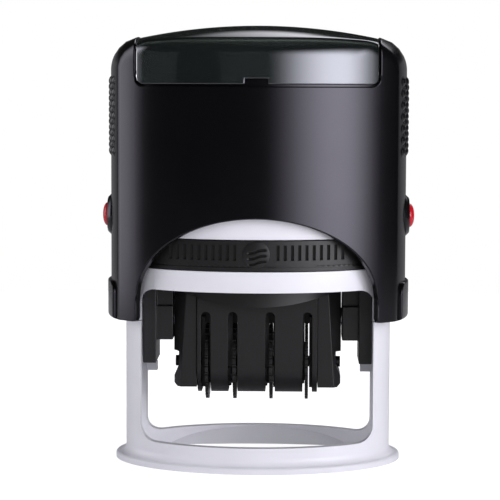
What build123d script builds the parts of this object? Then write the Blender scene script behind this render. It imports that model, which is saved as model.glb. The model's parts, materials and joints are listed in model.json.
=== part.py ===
from build123d import *
from math import asin, atan2, cos, pi, sin, sqrt
import os

# A self-inking date stamp, in millimetres. +Z is up and the person faces it from -Y.
# The origin is the centre of the oval foot's underside. The handle is up and at rest.

os.makedirs("parts", exist_ok=True)

# Window frame and its foot
leg_width = 5.02
frame_half_depth = 26.0
frame_wall = 2.4
flange_reach_x = 2.8
flange_reach_y = 2.5
flange_thickness = 1.8
flange_edge = 0.7
sole_half_width = 46.0
sole_half_depth = 18.4
sole_top_half_depth = 24.5
sole_height = 5.0
window_arm_gap = 0.2
window_sill = 6.7
window_back_sill = 4.8
window_head = 48.4
window_head_corner = 4.0
window_sill_corner = 4.2
white_band_height = 5.6
deck_gap = 1.2
deck_thickness = 2.0
rail_height = 1.3
rail_inset = 1.1
rail_end_gap = 1.0
rail_length = 13.0
lug_length = 2.9
lug_depth = 3.2
lug_end_gap = 1.2
lug_bottom = 22.6
lug_height = 2.5
frame_rim_height = 8.2
frame_top_gap = 0.7

# Ink pad drawer
pad_height = 8.0
pad_arm_gap = 0.5
pad_slot_gap = 0.3
pad_arch_gap = 0.4
fascia_wing = 3.3
fascia_wing_gap = 0.6
fascia_proud = 0.4
felt_margin = 0.7
felt_thickness = 4.9
felt_gap = 0.1
rib_pitch = 1.92
rib_slot_width = 0.85
rib_slot_depth = 1.0
rib_slot_height = 4.1
rib_slot_lift = 2.8
rib_field_margin = 7.5
ledge_lift = 0.9
ledge_height = 0.6
ledge_depth = 0.4
disc_radius = 3.6
disc_proud = 0.5
disc_dome = 0.35
disc_groove_width = 0.7
disc_groove_pitch = 1.9
disc_groove_depth = 0.5
disc_groove_length = 4.6

# Oval die and the plate that holds it
die_half_width = 22.5
die_half_depth = 15.0
die_reach = 13.0
plate_gap = 1.9
die_sheet = 1.6
relief = 0.6
relief_root = 0.3
die_window_half_width = 14.8
die_window_half_depth = 3.6
border_width = 0.8
border_step = 1.6
inner_border_width = 0.4
holder_margin_x = 0.4
holder_margin_y = 1.5
holder_depth = 6.7
holder_underside_radius = 64.0
holder_window_gap = 0.2
holder_window_half_depth = 6.0

# Handle shell
shell_side_gap = 2.03
shell_front_gap = 2.0
shell_wall = 2.0
shell_front_radius = 54.6
shell_bottom = 39.8
crown_radius = 156.0
shoulder_radius = 7.8
bow_margin = 2.0
side_bow = 14.5
top_bow = 5.4
end_crown_radius = 3000.0
end_shoulder_radius = 6.0
edge_radius = 4.5
skirt_flare = 0.9
skirt_height = 10.2
skirt_half_depth = 12.4
skirt_corner = 3.0
shell_leg_width = 8.15
arch_height = 22.5
arch_base_lift = 6.0

# Window lid over the top
lid_side_margin = 8.4
lid_drop = 16.05
lid_thickness = 1.3
lid_gap = 0.3
lid_corner = 2.6
lid_shelf_wall = 2.0
lid_shelf_margin = 2.6
thumb_notch_width = 6.2
thumb_notch_height = 1.5

# Grip fields on the sides
grip_drop = 13.8
grip_margin = 1.42
grip_corner = 1.5
grip_plate_thickness = 0.6
grip_plate_sink = 0.2
grip_gap = 0.1
dot_radius = 1.15
dot_height = 0.55
dot_pitch_up = 3.16
dot_pitch_across = 2.5
dot_columns = 9
dot_rows = 6

# Lock buttons
button_lift = 27.9
button_radius = 3.3
button_proud = 2.4
button_dome = 1.2
button_flange_step = 1.0
button_travel = 1.0
button_frame_gap = 0.5
bezel_radius = 5.8
bezel_neck_radius = 4.6
bezel_proud = 0.95
bezel_bed = 0.6
bezel_edge = 0.5

# Yoke inside the handle
block_side_gap = 0.4
block_thickness = 4.6
block_drop = 6.0
block_step_rise = 3.4
block_rise = 8.9
block_half_depth = 6.5
block_upper_half_depth = 5.0
arm_thickness = 3.6
arm_half_depth = 8.0
arm_floor_gap = 0.7
arm_slot_gap = 0.3
bridge_deck_gap = 1.4
bridge_thickness = 4.0
bridge_ring_radius = 12.0
boss_offset = 18.0
boss_radius = 3.4
stud_radius = 1.6
stud_length = 7.0

# Main spring
spring_mean_radius = 7.0
spring_wire_radius = 0.65
spring_turns = 9
spring_end_gap = 0.1
spring_seat_margin = 0.65
spring_passage_gap = 0.975
spring_seat_thickness = 3.85
spring_post_radius = 4.8
spring_post_height = 12.0

# Pivot pins and clearances
pin_radius = 2.5
pin_inset = 5.3
pin_length = 9.0
pin_end_gap = 0.2
pin_clearance = 0.05
fixed_clearance = 0.02

# Date wheels, bands and their axle
day_tens_middle = -13.9
day_units_middle = -6.3
month_middle = 3.75
year_middle = 13.55
day_drum_width = 3.1
month_drum_width = 8.6
year_drum_width = 8.1
wheel_drop = 12.6
fin_radius = 10.5
fin_thickness = 0.9
fin_teeth = 28
tooth_notch_radius = 0.5
drum_radius = 5.4
axle_radius = 1.5
axle_end = 1.3
band_thickness = 0.8
band_fit = 0.05
band_side_gap = 0.1
nose_radius = 2.0
anvil_neck_step = 0.5
anvil_tab_height = 1.3
anvil_apron_gap = 0.25
spacer_gap = 0.15
year_spacer_gap = 0.3
spacer_half_depth = 3.4
spacer_overlap = 2.0
character_length = 2.2
character_pitch = 3.3
character_margin = 0.5

# Cover and cheeks of the carrier
cover_half_width = 16.5
cover_half_depth = 9.7
cover_drop = 20.7
cover_flat_half_depth = 3.6
cover_bend_drop = 13.1
cover_bend_bulge = 2.4
cover_wall = 1.1
cover_end_wall = 0.9
cover_slot_width = 2.6
cover_slot_rise = 2.1
day_tens_slot_shift = -0.225
day_units_slot_shift = -0.45
month_slot_shift = -0.25
year_slot_shift = 0.225
cheek_gap = 0.1
cheek_thickness = 5.0
cheek_half_depth = 9.0
cheek_drop = 18.7
cheek_foot_flare = 1.3
cheek_foot_height = 3.0
cheek_foot_slope = 3.0
cheek_foot_corner = 0.9
cheek_boss_flare = 1.4
cheek_boss_drop = 8.9
crease_top_offset = 2.2
crease_bottom_offset = 0.5
crease_depth = 4.5

# Heights, from the frame's window up
pad_bottom = window_head + white_band_height + pad_slot_gap
pad_top = pad_bottom + pad_height
deck_bottom = pad_top + pad_slot_gap + deck_gap
deck_top = deck_bottom + deck_thickness
die_face = pad_bottom - plate_gap
die_top = die_face - relief
holder_top = die_top - die_sheet
holder_underside = holder_top - holder_depth
pivot_height = die_face - die_reach
press_stroke = pivot_height - die_reach
wheel_axis_height = pivot_height - wheel_drop
cover_bottom = pivot_height - cover_drop
cover_bend_height = pivot_height - cover_bend_drop
cover_slot_top = pivot_height + cover_slot_rise
cheek_bottom = pivot_height - cheek_drop
block_bottom = pivot_height - block_drop
block_top = pivot_height + block_rise
arm_bottom = press_stroke + arm_floor_gap
bridge_bottom = deck_top + press_stroke + bridge_deck_gap
bridge_top = bridge_bottom + bridge_thickness
button_height = shell_bottom + button_lift
arch_base = shell_bottom + arch_base_lift
frame_top = deck_top + frame_rim_height
lid_bottom = frame_top + frame_top_gap + press_stroke + lid_shelf_margin
shell_top = lid_bottom + lid_drop
lid_recess = lid_thickness + lid_gap
ceiling = shell_top - lid_recess - lid_shelf_wall
spring_top = ceiling - spring_seat_thickness

# Widths and depths, from the die out to the arms, the frame and the shell
holder_half_width = die_half_width + holder_margin_x
holder_half_depth = die_half_depth + holder_margin_y
felt_half_width = die_half_width + felt_margin
felt_half_depth = die_half_depth + felt_margin
block_inner = holder_half_width + block_side_gap
arm_inner = block_inner + block_thickness
arm_outer = arm_inner + arm_thickness
pad_half_width = arm_inner - pad_arm_gap
fascia_half_width = pad_half_width + fascia_wing
fascia_wing_depth = arm_half_depth + fascia_wing_gap
window_half_width = arm_outer + window_arm_gap
frame_half_width = window_half_width + leg_width
frame_inner_half_width = frame_half_width - frame_wall
frame_inner_half_depth = frame_half_depth - frame_wall
shell_half_width = frame_half_width + shell_side_gap + shell_wall
shell_half_depth = frame_half_depth + shell_front_gap + shell_wall
bow_depth = shell_half_depth + bow_margin
shell_curve_centre = shell_front_radius - shell_half_depth
arch_half_width = shell_half_width - shell_leg_width
lid_half_width = shell_half_width - lid_side_margin
grip_top = shell_top - grip_drop
grip_bottom = grip_top - dot_rows * dot_pitch_up - 2 * grip_margin
grip_half_depth = (dot_columns - 1) / 2 * dot_pitch_across + grip_margin
button_flange_back = frame_half_width + button_frame_gap + button_travel
cheek_inner = cover_half_width + cheek_gap
cheek_outer = cheek_inner + cheek_thickness
cheek_boss_outer = cheek_outer + cheek_boss_flare
pin_inner = cheek_boss_outer - pin_inset
pin_end = pin_inner + pin_length
band_inner_radius = drum_radius + band_fit
nose_inner_radius = nose_radius + band_fit
nose_height = die_face - relief - band_thickness - nose_inner_radius
reach = 3 * shell_top

# Each wheel: its thin fin's middle, the side its drum is on, the drum's width, and how far the cover's slot
# is off the fin's middle.
wheels = {
    "day_tens": (day_tens_middle, 1, day_drum_width, day_tens_slot_shift),
    "day_units": (day_units_middle, -1, day_drum_width, day_units_slot_shift),
    "month": (month_middle, -1, month_drum_width, month_slot_shift),
    "year": (year_middle, -1, year_drum_width, year_slot_shift),
}


def block(x_low, x_high, y_low, y_high, z_low, z_high):
    """A box between two corners."""
    centre = Pos((x_low + x_high) / 2, (y_low + y_high) / 2, (z_low + z_high) / 2)
    return centre * Box(x_high - x_low, y_high - y_low, z_high - z_low)


def through_y(face):
    """A face drawn on X and Z, extruded right through along Y."""
    return extrude(Plane.XZ * face, amount=reach, both=True)


def along_x(face, x_low, x_high):
    """A face drawn on Y and Z, extruded along X between two places."""
    return extrude(Pos(x_low, 0, 0) * (Plane.YZ * face), amount=x_high - x_low)


def column(face, z_low, z_high):
    """A face drawn on X and Y, extruded up between two heights."""
    return extrude(Pos(0, 0, z_low) * face, amount=z_high - z_low)


def rod(radius, x_low, x_high, height):
    """A round bar along X at a height over the middle of the base."""
    return along_x(Pos(0, height) * Circle(radius), x_low, x_high)


def mirrored(part):
    """The same part on the other side of the stamp."""
    return mirror(part, about=Plane.YZ)


def shell_outline(half_width, top, crown, shoulder, bottom):
    """Front view of the shell: straight sides, round shoulders and a slow crown."""
    across = half_width - shoulder
    crown_centre = top - crown
    centre_rise = sqrt((crown - shoulder) ** 2 - across ** 2)
    shoulder_height = crown_centre + centre_rise
    lean = atan2(centre_rise, across)
    join_x = crown * cos(lean)
    join_z = crown_centre + crown * sin(lean)
    middle_x = across + shoulder * cos(lean / 2)
    middle_z = shoulder_height + shoulder * sin(lean / 2)
    line = Line((-half_width, bottom), (-half_width, shoulder_height))
    line += ThreePointArc((-half_width, shoulder_height), (-middle_x, middle_z), (-join_x, join_z))
    line += ThreePointArc((-join_x, join_z), (0, top), (join_x, join_z))
    line += ThreePointArc((join_x, join_z), (middle_x, middle_z), (half_width, shoulder_height))
    line += Line((half_width, shoulder_height), (half_width, bottom))
    line += Line((half_width, bottom), (-half_width, bottom))
    return Plane.XZ * make_face(line)


def barrel(inset, bottom):
    """The form of the sides and the top, which bow out towards the middle of the depth."""
    half_width = shell_half_width - inset
    top = shell_top - inset
    middle = shell_outline(half_width, top, crown_radius - inset, shoulder_radius - inset, bottom)
    shoulder = end_shoulder_radius - inset
    end = shell_outline(half_width - side_bow, top - top_bow, end_crown_radius, shoulder, bottom)
    return loft([Pos(0, bow_depth, 0) * end, middle, Pos(0, -bow_depth, 0) * end])


def shell_form(inset, bottom=shell_bottom):
    """The shell's solid form, drawn in by inset on every side but its open bottom."""
    bow = Circle(shell_front_radius - inset)
    lens = (Pos(0, shell_curve_centre) * bow) & (Pos(0, -shell_curve_centre) * bow)
    form = barrel(inset, bottom) & column(lens, bottom, reach)
    rims = []
    for edge in form.edges():
        run = (edge @ 1) - (edge @ 0)
        away = abs(edge.center().Y)
        if edge.center().Z > bottom + flange_edge and abs(run.Y) < run.length / 2 and away > edge_radius:
            rims.append(edge)
    return fillet(rims, edge_radius - inset)


def arch_form(inset):
    """The arch of the shell as a solid through it, drawn in by inset."""
    half_width = arch_half_width - inset
    arch = Pos(0, arch_base) * Ellipse(half_width, arch_height - inset)
    foot = Pos(0, arch_base) * Rectangle(2 * half_width, 2 * arch_base, align=(Align.CENTER, Align.MAX))
    return through_y(arch + foot)


def lid_zone(grow):
    """The stretch of the shell that the lid wraps, seen from the front."""
    height = 2 * lid_drop
    face = RectangleRounded(2 * (lid_half_width + grow), height, lid_corner + grow)
    return through_y(Pos(0, lid_bottom - grow + height / 2) * face)


def grip_outline(gap):
    """The rounded outline of a grip field on Y and Z."""
    height = grip_top - grip_bottom
    face = RectangleRounded(2 * (grip_half_depth + gap), height + 2 * gap, grip_corner + gap)
    return Pos(0, (grip_bottom + grip_top) / 2) * face


def outer_shell():
    """Hollow glossy shell with its arch, flared skirts, lid recess, grip recesses and bosses."""
    zone = lid_zone(lid_shelf_margin)
    skirt_face = RectangleRounded(2 * skirt_half_depth, 2 * skirt_height, skirt_corner)
    skirt_face = Pos(0, shell_bottom) * skirt_face
    skirt = (shell_form(-skirt_flare) - shell_form(shell_wall)) & along_x(skirt_face, -reach, reach)
    shell = shell_form(0) - (shell_form(shell_wall) - zone)
    shell -= shell_form(shell_wall + lid_recess) & zone
    shell -= (shell_form(0) - shell_form(lid_recess)) & lid_zone(lid_gap)
    shell += skirt
    shell -= arch_form(0)
    seat_radius = spring_mean_radius + spring_wire_radius + spring_seat_margin
    shell += column(Circle(seat_radius), spring_top, ceiling)
    for side in (-1, 1):
        boss = Pos(side * boss_offset, 0) * Circle(boss_radius)
        bore = Pos(side * boss_offset, 0) * Circle(stud_radius + fixed_clearance)
        shell += column(boss, bridge_top, ceiling)
        shell -= column(bore, bridge_top, bridge_top + stud_length + grip_gap)
    neck = bezel_neck_radius + fixed_clearance
    shell -= rod(neck, -reach, reach, button_height)
    depth = grip_plate_sink + grip_plate_thickness
    return shell - ((shell_form(0) - shell_form(depth)) & along_x(grip_outline(grip_gap), -reach, reach))


def window_lid():
    """Clear cap that wraps the top, with a thumb notch in its front and back edges."""
    lid = (shell_form(0) - shell_form(lid_thickness)) & lid_zone(0)
    half_notch = thumb_notch_width / 2
    return lid - block(-half_notch, half_notch, -reach, reach, 0, lid_bottom + thumb_notch_height)


def side_grip():
    """Inlaid plate on the right side, bowed like the shell, with staggered rows of domes."""
    root = grip_plate_thickness / 2
    ball_radius = (dot_radius ** 2 + dot_height ** 2) / (2 * dot_height)
    cut_angle = asin((ball_radius - dot_height - root) / ball_radius) * 180 / pi
    cap = Sphere(ball_radius, cut_angle, 90, 360, align=(Align.CENTER, Align.CENTER, Align.MIN))
    dome = Pos(-root, 0, 0) * Rot(0, 90, 0) * cap
    middle = (grip_bottom + grip_top) / 2
    domes = []
    for column_index in range(dot_columns):
        across = (column_index - (dot_columns - 1) / 2) * dot_pitch_across
        face = shell_half_width - grip_plate_sink - side_bow * (across / bow_depth) ** 2
        turn = atan2(2 * side_bow * across, bow_depth ** 2) * 180 / pi
        stagger = column_index % 2
        for row in range(dot_rows + 1 - stagger):
            up = middle + (row - (dot_rows - stagger) / 2) * dot_pitch_up
            domes.append(Pos(face, across, up) * Rot(0, 0, turn) * dome)
    plate = shell_form(grip_plate_sink) - shell_form(grip_plate_sink + grip_plate_thickness)
    return (plate & along_x(grip_outline(0), 0, reach)) + domes


def button_bezel():
    """Black ring round the right button, seated in the shell's side."""
    inside = shell_half_width - shell_wall
    outside = shell_half_width + bezel_proud
    flange = rod(bezel_radius, shell_half_width - bezel_bed, outside, button_height)
    flange = fillet(flange.edges().group_by(Axis.X)[-1], bezel_edge) - shell_form(0)
    neck = rod(bezel_neck_radius, inside, outside, button_height)
    bore = rod(button_radius + pin_clearance, 0, reach, button_height)
    return flange + neck - bore


def button():
    """Right lock button: a domed stem with a flange inside the shell."""
    inside = shell_half_width - shell_wall - pin_clearance
    tip = shell_half_width + button_proud
    back = button_flange_back
    flange = rod(button_radius + button_flange_step, back, inside, button_height)
    stem = rod(button_radius, back, tip, button_height)
    stem = fillet(stem.edges().group_by(Axis.X)[-1], button_dome)
    return flange + stem


def yoke():
    """Two arms with bearing blocks, joined by a bridge that plugs onto the shell's bosses."""
    bridge = block(-arm_outer, arm_outer, -arm_half_depth, arm_half_depth, bridge_bottom, bridge_top)
    body = bridge + column(Circle(bridge_ring_radius), bridge_bottom, bridge_top)
    for side in (-1, 1):
        low, high = sorted((side * arm_inner, side * arm_outer))
        body += block(low, high, -arm_half_depth, arm_half_depth, arm_bottom, bridge_top)
        low, high = sorted((side * block_inner, side * arm_inner))
        step = pivot_height + block_step_rise
        body += block(low, high, -block_half_depth, block_half_depth, block_bottom, step)
        half = block_upper_half_depth
        body += block(low, high, -half, half, step, block_top)
        stud = Pos(side * boss_offset, 0) * Circle(stud_radius)
        body += column(stud, bridge_top, bridge_top + stud_length)
    bearing_end = pin_end + pin_end_gap
    body -= rod(pin_radius + pin_clearance, -bearing_end, bearing_end, pivot_height)
    spring_hole = spring_mean_radius + spring_wire_radius + spring_passage_gap
    return body - column(Circle(spring_hole), 0, reach)


def base_frame():
    """White oval tube with its foot flange, window, pad slot, deck, rails and lugs."""
    bore = Ellipse(frame_inner_half_width, frame_inner_half_depth)
    tube = column(Ellipse(frame_half_width, frame_half_depth), 0, frame_top)
    foot = Ellipse(frame_half_width + flange_reach_x, frame_half_depth + flange_reach_y)
    foot = column(foot, 0, flange_thickness)
    foot = fillet(foot.edges().group_by(Axis.Z)[-1], flange_edge)
    sole_low = Ellipse(sole_half_width, sole_half_depth)
    sole_high = Pos(0, 0, sole_height) * Ellipse(sole_half_width, sole_top_half_depth)
    passage = column(bore, 0, sole_height) & loft([sole_low, sole_high])
    frame = tube + foot - column(bore, sole_height, frame_top) - passage
    for way, sill in ((-1, window_sill), (1, window_back_sill)):
        opening = Rectangle(2 * window_half_width, window_head - sill)
        opening = Pos(0, (sill + window_head) / 2) * opening
        opening = fillet(opening.vertices().group_by(Axis.Y)[0], window_sill_corner)
        opening = fillet(opening.vertices().group_by(Axis.Y)[-1], window_head_corner)
        frame -= extrude(Plane.XZ * opening, amount=-way * reach)
    slot_half_width = pad_half_width + pad_slot_gap
    slot_low = pad_bottom - pad_slot_gap
    slot_high = pad_top + pad_slot_gap
    frame -= block(-slot_half_width, slot_half_width, -reach, reach, slot_low, slot_high)
    wing_half_width = fascia_half_width + pad_slot_gap
    frame -= block(-wing_half_width, wing_half_width, -reach, pad_slot_gap - fascia_wing_depth, slot_low, slot_high)
    deck = column(bore, deck_bottom, deck_top)
    deck += column(Circle(spring_post_radius), deck_bottom, deck_top + spring_post_height)
    inside = column(Ellipse(frame_half_width - frame_wall / 2, frame_half_depth - frame_wall / 2), 0, reach)
    gap = arm_slot_gap
    half_depth = arm_half_depth + gap
    for side in (-1, 1):
        low, high = sorted((side * (arm_inner - gap), side * (arm_outer + gap)))
        deck -= block(low, high, -half_depth, half_depth, 0, reach)
        for way in (-1, 1):
            low, high = sorted((side * (holder_half_width + rail_inset), side * frame_half_width))
            rail_start = arm_half_depth + rail_end_gap
            near, far = sorted((way * rail_start, way * (rail_start + rail_length)))
            frame += block(low, high, near, far, slot_low - rail_height, slot_low) & inside
        low, high = sorted((side * (window_half_width - lug_length), side * (window_half_width + gap)))
        near = arm_half_depth + lug_end_gap
        frame += block(low, high, near, near + lug_depth, lug_bottom, lug_bottom + lug_height)
    return frame + deck


def fascia_front(x):
    """How far in front of the middle the drawer's curved face is at x."""
    return (frame_half_depth + fascia_proud) * sqrt(1 - (x / (frame_half_width + fascia_proud)) ** 2)


def ink_pad_tray():
    """Drawer that holds the felt face down, with a ribbed front and a round pull."""
    outer = Ellipse(frame_half_width + fascia_proud, frame_half_depth + fascia_proud)
    plan = outer & Rectangle(2 * pad_half_width, reach)
    wings = Rectangle(2 * fascia_half_width, reach, align=(Align.CENTER, Align.MAX))
    plan += outer & (Pos(0, -fascia_wing_depth) * wings)
    tray = column(plan, pad_bottom, pad_top) & arch_form(pad_arch_gap)
    pocket = Ellipse(felt_half_width + felt_gap, felt_half_depth + felt_gap)
    tray -= column(pocket, 0, pad_bottom + felt_thickness + felt_gap)
    slot_low = pad_bottom + rib_slot_lift
    slot_high = slot_low + rib_slot_height
    half_slot = rib_slot_width / 2
    steps = int((fascia_half_width - rib_field_margin) / rib_pitch)
    slots = []
    for step in range(-steps, steps + 1):
        x = step * rib_pitch
        if abs(x) > disc_radius + half_slot:
            floor = rib_slot_depth - fascia_front(x)
            slots.append(block(x - half_slot, x + half_slot, -reach, floor, slot_low, slot_high))
    rim_step = fascia_proud - ledge_depth
    rim = Ellipse(frame_half_width + rim_step, frame_half_depth + rim_step)
    ledge_low = pad_bottom + ledge_lift
    ledge = column(outer, ledge_low, ledge_low + ledge_height) - column(rim, 0, reach)
    tray = tray - slots - ledge
    front = fascia_front(0)
    middle = pad_bottom + pad_height / 2 + disc_dome
    turn = Pos(0, -front + rib_slot_depth, middle) * Rot(90, 0, 0)
    disc_thickness = rib_slot_depth + disc_proud
    disc = turn * Cylinder(disc_radius, disc_thickness, align=(Align.CENTER, Align.CENTER, Align.MIN))
    disc = fillet(disc.edges().group_by(Axis.Y)[0], disc_dome)
    floor = disc_groove_depth - front - disc_proud
    half_groove = disc_groove_width / 2
    half_length = disc_groove_length / 2
    for row in (-1, 0, 1):
        up = middle + row * disc_groove_pitch
        disc -= block(-half_length, half_length, -reach, floor, up - half_groove, up + half_groove)
    return tray + disc


def ink_felt():
    """Inked felt block whose underside the die rests under."""
    return column(Ellipse(felt_half_width, felt_half_depth), pad_bottom, pad_bottom + felt_thickness)


def underside_form():
    """Everything above the bowed underside of the die holder."""
    centre = holder_underside + holder_underside_radius
    return through_y(Pos(0, centre) * Circle(holder_underside_radius))


def die_holder():
    """Oval plate with a bowed underside and a window for the date."""
    plate = column(Ellipse(holder_half_width, holder_half_depth), holder_underside, holder_top)
    hole = Rectangle(2 * (die_window_half_width + holder_window_gap), 2 * holder_window_half_depth)
    return (plate & underside_form()) - column(hole, 0, reach)


def text_plate():
    """Rubber die: an oval sheet with raised borders round its rim and round the date window."""
    sheet = column(Ellipse(die_half_width, die_half_depth), holder_top, die_top)
    for inset, width in ((0, border_width), (border_step, inner_border_width)):
        outer = Ellipse(die_half_width - inset, die_half_depth - inset)
        inner = Ellipse(die_half_width - inset - width, die_half_depth - inset - width)
        sheet += column(outer - inner, die_top - relief_root, die_face)
    window = Rectangle(2 * die_window_half_width, 2 * die_window_half_depth)
    frame = offset(window, border_width, kind=Kind.INTERSECTION)
    sheet += column(frame, die_top - relief_root, die_face)
    return sheet - column(window, 0, reach)


def date_anvil():
    """Bar with a round nose that holds the bands up at the level of the die, and spacers beside the fins."""
    end = wheel_span("year")[1] + band_thickness
    foot = pivot_height + nose_radius + pin_radius
    half_stem = nose_radius - anvil_neck_step
    profile = Pos(0, nose_height) * Circle(nose_radius)
    stem = Rectangle(2 * half_stem, nose_height - foot, align=(Align.CENTER, Align.MIN))
    profile += Pos(0, foot) * stem
    bar = along_x(profile, -end, end)
    tab = Pos(0, foot) * Rectangle(2 * half_stem, anvil_tab_height, align=(Align.CENTER, Align.MIN))
    apron_end = cover_half_width - cover_end_wall - cheek_gap
    apron_foot = wheel_axis_height + fin_radius + anvil_apron_gap
    apron = Pos(0, apron_foot) * Rectangle(2 * half_stem, foot - apron_foot, align=(Align.CENTER, Align.MIN))
    bar += along_x(apron, -apron_end, apron_end)
    bar += along_x(tab, -cheek_inner, cheek_inner)
    half_fin = fin_thickness / 2
    end = cover_half_width - cover_end_wall - spacer_gap
    spacers = [
        (-end, day_tens_middle - half_fin - spacer_gap),
        (month_middle + half_fin + spacer_gap, wheel_span("year")[0] - spacer_gap),
        (year_middle + half_fin + year_spacer_gap, end),
    ]
    spacer_foot = cover_bottom + cover_wall + spacer_gap
    spacer_top = apron_foot + spacer_overlap
    plate = Pos(0, spacer_foot) * Rectangle(
        2 * spacer_half_depth, spacer_top - spacer_foot, align=(Align.CENTER, Align.MIN)
    )
    fork = axle_radius + pin_clearance
    plate -= Pos(0, wheel_axis_height) * Circle(fork)
    plate -= Pos(0, wheel_axis_height) * Rectangle(2 * fork, reach, align=(Align.CENTER, Align.MAX))
    for low, high in spacers:
        bar += along_x(plate, low, high)
    return bar


def wheel_span(name):
    """Low and high X of a wheel's drum."""
    middle, way, width, shift = wheels[name]
    start = middle + way * fin_thickness / 2
    return tuple(sorted((start, start + way * width)))


def date_wheel(name):
    """Thin toothed fin beside a smooth drum, bored for the axle."""
    middle = wheels[name][0]
    low, high = wheel_span(name)
    half = fin_thickness / 2
    fin = Circle(fin_radius)
    notches = PolarLocations(fin_radius, fin_teeth) * Circle(tooth_notch_radius)
    fin = fin - notches
    place = Pos(0, wheel_axis_height)
    wheel = along_x(place * fin, middle - half, middle + half)
    wheel += rod(drum_radius, low, high, wheel_axis_height)
    return wheel - rod(axle_radius + pin_clearance, -reach, reach, wheel_axis_height)


def loop_outline(low_radius, high_radius):
    """Outline of a belt round the drum and the anvil's nose, on Y and Z."""
    rise = nose_height - wheel_axis_height
    lean = asin((low_radius - high_radius) / rise)
    low_y = low_radius * cos(lean)
    low_z = wheel_axis_height + low_radius * sin(lean)
    high_y = high_radius * cos(lean)
    high_z = nose_height + high_radius * sin(lean)
    corners = [(-low_y, low_z), (low_y, low_z), (high_y, high_z), (-high_y, high_z)]
    side = make_face(Polyline(*corners, close=True))
    low = Pos(0, wheel_axis_height) * Circle(low_radius)
    high = Pos(0, nose_height) * Circle(high_radius)
    return low + high + side


def date_band(name):
    """Rubber belt with raised character blocks, one of them under print."""
    low, high = wheel_span(name)
    low = low + band_side_gap
    high = high - band_side_gap
    outer_low = band_inner_radius + band_thickness
    outer_high = nose_inner_radius + band_thickness
    belt = loop_outline(outer_low, outer_high) - loop_outline(band_inner_radius, nose_inner_radius)
    half = character_length / 2
    keep = nose_height + outer_high - band_thickness / 2
    raised = Pos(0, keep) * Rectangle(character_length, die_face - keep, align=(Align.CENTER, Align.MIN))
    rise = nose_height - wheel_axis_height
    lean = asin((outer_low - outer_high) / rise)
    run = rise * cos(lean)
    count = int((run - 2 * half) / character_pitch)
    for way in (-1, 1):
        for step in range(count):
            along = (step + 1) * character_pitch
            y = outer_low * cos(lean) - along * sin(lean)
            z = wheel_axis_height + outer_low * sin(lean) + along * cos(lean)
            pad = Rectangle(2 * relief, character_length)
            raised += Pos(way * y, z) * Rot(0, 0, way * lean * 180 / pi) * pad
    turns = int(pi * outer_low / character_pitch)
    for step in range(turns):
        angle = -pi * (step + 1 / 2) / turns
        pad = Rectangle(2 * relief, character_length)
        y = outer_low * cos(angle)
        z = wheel_axis_height + outer_low * sin(angle)
        raised += Pos(y, z) * Rot(0, 0, angle * 180 / pi) * pad
    blocks = along_x(raised - loop_outline(band_inner_radius, nose_inner_radius), low + character_margin,
                     high - character_margin)
    return along_x(belt, low, high) + blocks


def cover_outline(inset):
    """Side view of the cover: flat front and back, and a rounded trough bottom."""
    half = cover_half_depth - inset
    flat = cover_flat_half_depth
    bottom = cover_bottom + inset
    bend = cover_bend_height
    top = holder_top
    middle_y = (half + flat) / 2 + cover_bend_bulge / 2
    middle_z = (bottom + bend) / 2 - cover_bend_bulge / 2
    line = Polyline((half, bend), (half, top), (-half, top), (-half, bend))
    line += ThreePointArc((-half, bend), (-middle_y, middle_z), (-flat, bottom))
    line += Line((-flat, bottom), (flat, bottom))
    line += ThreePointArc((flat, bottom), (middle_y, middle_z), (half, bend))
    return make_face(line)


def band_cover():
    """Smooth cover round the wheels, open to the die holder, with a slot for each fin."""
    half = cover_half_width
    cover = along_x(cover_outline(0), -half, half)
    inner = half - cover_end_wall
    cover -= along_x(cover_outline(cover_wall), -inner, inner)
    slot_height = 2 * cover_slot_top
    for middle, way, width, shift in wheels.values():
        face = SlotOverall(slot_height, cover_slot_width, rotation=90)
        cover -= through_y(Pos(middle + shift, 0) * face)
    cover -= rod(axle_radius + fixed_clearance, -reach, reach, wheel_axis_height)
    end = cheek_inner
    cover -= block(-end, end, -nose_radius, nose_radius, pivot_height, holder_top)
    return cover - underside_form()


def cheek():
    """Right side frame of the carrier, with its pivot boss, slanted edges and flared foot."""
    foot = cheek_outer + cheek_foot_flare
    foot_top = cheek_bottom + cheek_foot_height
    slope_top = foot_top + cheek_foot_slope
    boss_bottom = pivot_height - cheek_boss_drop
    top = holder_top
    outline = Polyline(
        (cheek_inner, top),
        (cheek_inner, cheek_bottom),
        (foot - cheek_foot_corner, cheek_bottom),
        (foot, cheek_bottom + cheek_foot_corner),
        (foot, foot_top),
        (cheek_outer, slope_top),
        (cheek_outer, boss_bottom),
        (cheek_boss_outer, boss_bottom),
        (cheek_boss_outer, top),
        close=True,
    )
    slab = extrude(Plane.XZ * make_face(outline), amount=cheek_half_depth, both=True)
    high = Vector(cheek_outer - crease_top_offset, -cheek_half_depth, block_top)
    low = Vector(cheek_outer - crease_bottom_offset, -cheek_half_depth, cheek_bottom)
    side = Vector(cheek_boss_outer, -cheek_half_depth + crease_depth, block_top)
    outward = (low - high).cross(side - high)
    if outward.Y > 0:
        outward = outward * -1
    cut = Plane(origin=high, x_dir=low - high, z_dir=outward)
    wedge = cut * Box(reach, reach, reach, align=(Align.CENTER, Align.CENTER, Align.MIN))
    body = slab - wedge
    body -= mirror(wedge, about=Plane.XZ)
    body -= rod(pin_radius + fixed_clearance, pin_inner, reach, pivot_height)
    body -= rod(axle_radius + fixed_clearance, 0, reach, wheel_axis_height)
    return body - underside_form()


def pivot_pin():
    """Right pin that the carrier turns on."""
    return rod(pin_radius, pin_inner, pin_end, pivot_height)


def wheel_axle():
    """Steel axle through the wheels, the cover and the cheeks."""
    end = cheek_outer + axle_end
    return rod(axle_radius, -end, end, wheel_axis_height)


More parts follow.
